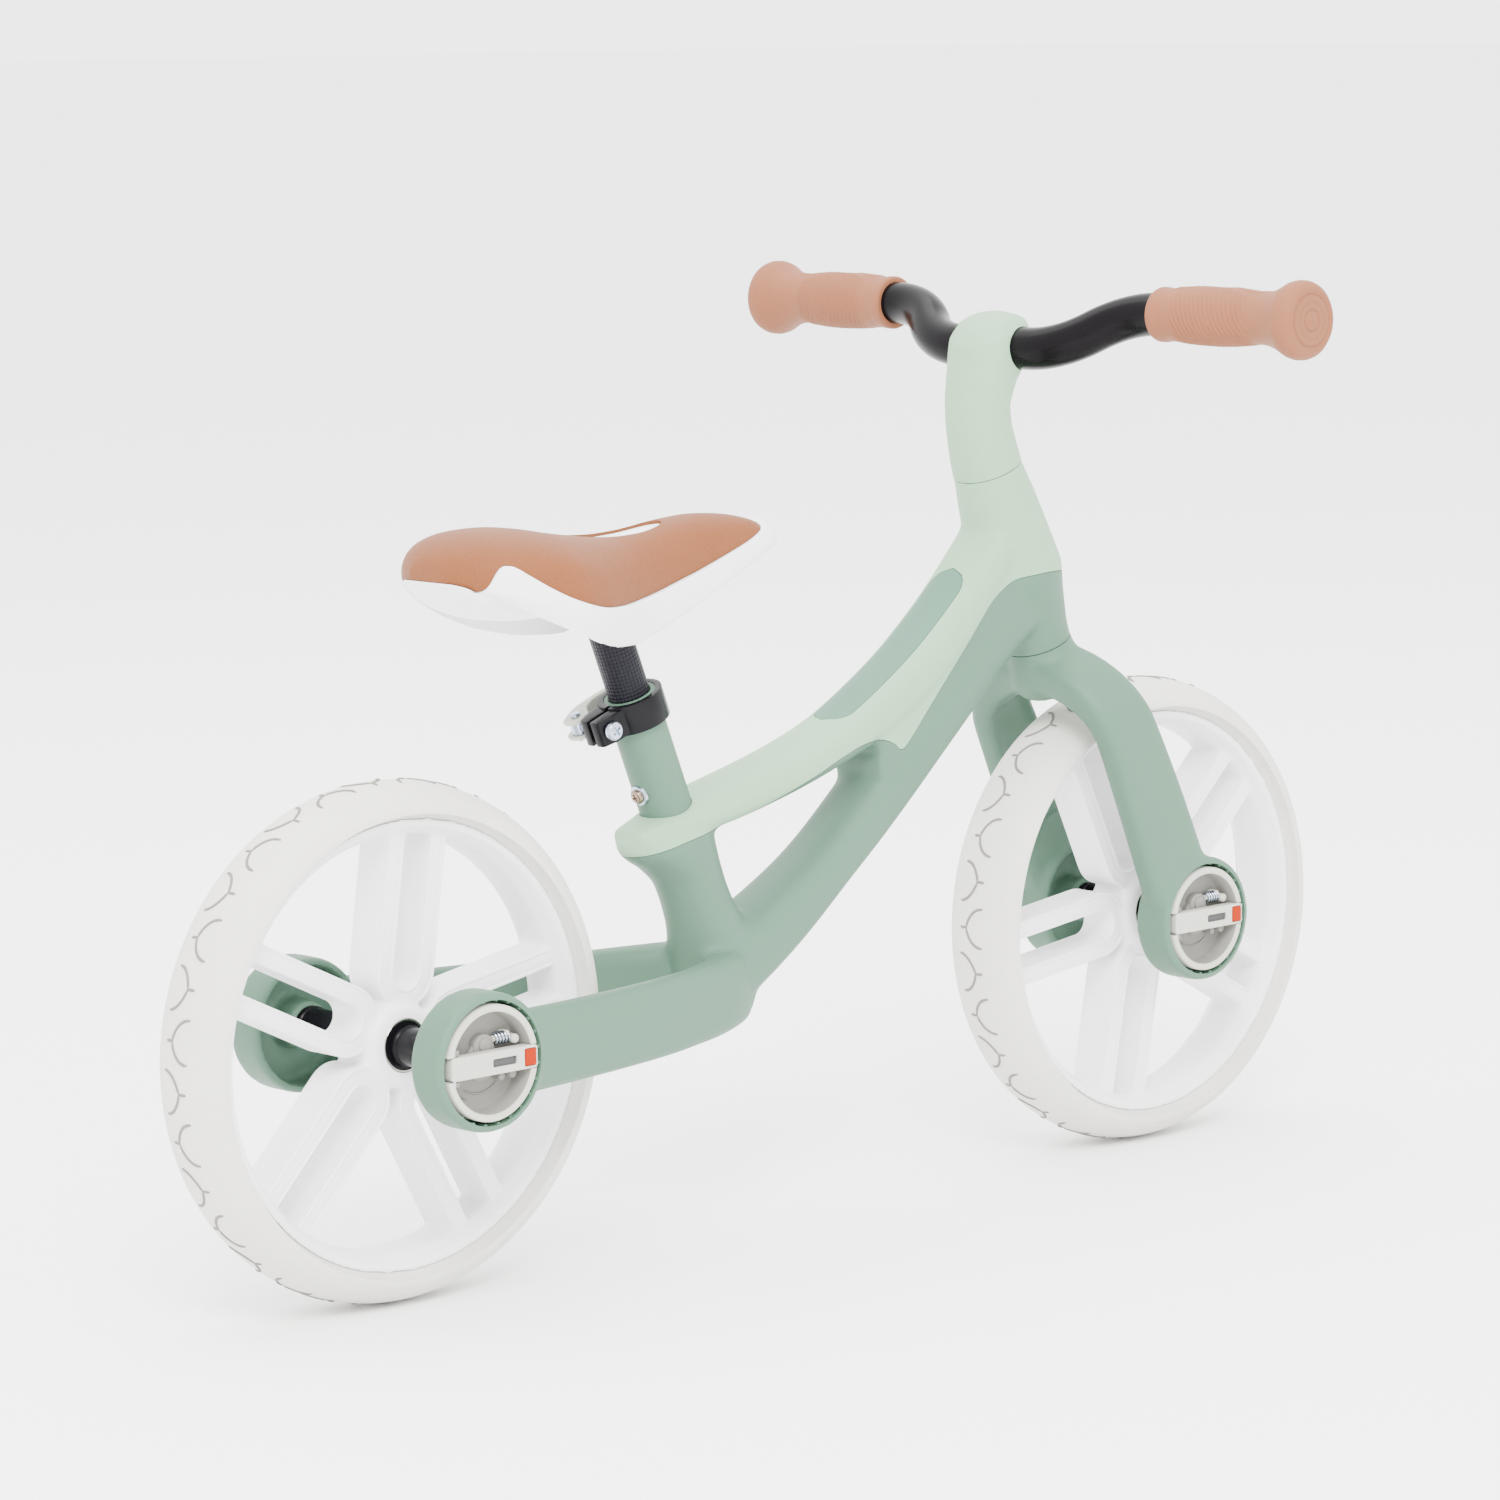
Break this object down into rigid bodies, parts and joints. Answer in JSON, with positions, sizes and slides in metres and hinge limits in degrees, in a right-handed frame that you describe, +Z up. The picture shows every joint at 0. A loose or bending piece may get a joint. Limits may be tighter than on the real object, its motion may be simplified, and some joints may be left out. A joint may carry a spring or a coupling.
{
  "type": "balance bike",
  "caption": "Toddler's balance bike with a curved two-tone moulded frame, pale tyres on twin-spoke wheels, quick-release axle dials, raised handlebar with soft grips and a padded saddle.",
  "frame": {"origin": "on the ground midway between the two axles, in the bike's centre plane", "axes": "+X points forward, +Y to the rider's left, +Z up; the wheels turn about Y"},
  "size_m": [0.768, 0.3904, 0.4699],
  "materials": {
    "sage": "satin moulded nylon, sage green",
    "mint": "satin moulded nylon, light mint",
    "badge": "smooth inlay, sage green",
    "gloss_black": "gloss black paint",
    "post_black": "fine knurled black coating",
    "zinc": "bright zinc plate",
    "bronze": "bronze-toned plated screw",
    "bearing_steel": "ground steel",
    "axle_steel": "turned steel",
    "spacer_black": "smooth black plastic",
    "dial_grey": "fine-textured warm grey plastic",
    "lever_grey": "smooth light grey plastic",
    "button_red": "gloss orange-red",
    "saddle_tan": "pebble-grained soft foam skin, tan",
    "saddle_white": "smooth white plastic",
    "grip_tan": "soft moulded rubber, tan",
    "tyre_pale": "pale grey foam rubber",
    "rim_white": "semi-gloss white nylon"
  },
  "bodies": {
    "frame": {"main_frame": "sage", "top_cover": "mint", "badge_strip": "badge", "seat_tube": "sage", "seat_tube_screw": "bronze", "seat_tube_washer": "zinc", "head_bearing_lower": "bearing_steel", "head_bearing_upper": "bearing_steel", "seat_collar": "gloss_black", "collar_bolt": "zinc", "collar_barrel": "zinc", "rear_axle": "axle_steel", "rear_spacers": "spacer_black"},
    "collar_lever": {"collar_lever": "lever_grey", "collar_lever_pins": "zinc"},
    "saddle": {"seat_post": "post_black", "saddle_bracket": "gloss_black", "saddle_bolts": "zinc", "saddle_shell": "saddle_white", "saddle_pad": "saddle_tan"},
    "steering": {"fork": "sage", "steerer_tube": "axle_steel", "stem": "mint", "stem_screws": "zinc", "handlebar": "gloss_black", "grip_left": "grip_tan", "grip_right": "grip_tan", "front_axle": "axle_steel", "front_spacers": "spacer_black"},
    "rear_wheel": {"rear_tyre": "tyre_pale", "rear_rim": "rim_white", "rear_hub_bearings": "bearing_steel"},
    "front_wheel": {"front_tyre": "tyre_pale", "front_rim": "rim_white", "front_hub_bearings": "bearing_steel"},
    "rear_dial": {"rear_dial": "dial_grey", "rear_lever_pin": "zinc", "rear_dial_spring": "zinc", "rear_dial_latch": "zinc"},
    "rear_dial_lever": {"rear_dial_lever": "lever_grey"},
    "rear_dial_button": {"rear_dial_button": "button_red"},
    "front_dial": {"front_dial": "dial_grey", "front_lever_pin": "zinc", "front_dial_spring": "zinc", "front_dial_latch": "zinc"},
    "front_dial_lever": {"front_dial_lever": "lever_grey"},
    "front_dial_button": {"front_dial_button": "button_red"}
  },
  "joints": [
    {"name": "steering_turn", "type": "hinge", "parent": "frame", "child": "steering", "pos_m": [0.24652, 0, 0.125], "axis": [-0.3681, 0, 0.9298], "range_deg": [-40, 40]},
    {"name": "rear_wheel_spin", "type": "hinge", "parent": "frame", "child": "rear_wheel", "pos_m": [-0.259, 0, 0.125], "axis": [0, 1, 0], "continuous": true},
    {"name": "front_wheel_spin", "type": "hinge", "parent": "steering", "child": "front_wheel", "pos_m": [0.259, 0, 0.125], "axis": [0, 1, 0], "continuous": true},
    {"name": "saddle_height", "type": "slide", "parent": "frame", "child": "saddle", "axis": [-0.3665, 0, 0.9304], "range_m": [-0.018, 0.06]},
    {"name": "collar_lever_open", "type": "hinge", "parent": "frame", "child": "collar_lever", "pos_m": [-0.12026, 0.016, 0.25969], "axis": [-0.3665, 0, 0.9304], "range_deg": [0, 150]},
    {"name": "rear_dial_turn", "type": "hinge", "parent": "frame", "child": "rear_dial", "pos_m": [-0.259, -0.0783, 0.125], "axis": [0, -1, 0], "range_deg": [0, 90]},
    {"name": "rear_lever_fold", "type": "hinge", "parent": "rear_dial", "child": "rear_dial_lever", "pos_m": [-0.281, -0.07565, 0.125], "axis": [0, 0, -1], "range_deg": [0, 90]},
    {"name": "rear_button_press", "type": "slide", "parent": "rear_dial_lever", "child": "rear_dial_button", "axis": [0, 1, 0], "range_m": [0, 0.0015], "stiffness_N_per_m": 400},
    {"name": "front_dial_turn", "type": "hinge", "parent": "steering", "child": "front_dial", "pos_m": [0.259, -0.0548, 0.125], "axis": [0, -1, 0], "range_deg": [0, 90]},
    {"name": "front_lever_fold", "type": "hinge", "parent": "front_dial", "child": "front_dial_lever", "pos_m": [0.237, -0.05215, 0.125], "axis": [0, 0, -1], "range_deg": [0, 90]},
    {"name": "front_button_press", "type": "slide", "parent": "front_dial_lever", "child": "front_dial_button", "axis": [0, 1, 0], "range_m": [0, 0.0015], "stiffness_N_per_m": 400}
  ]
}
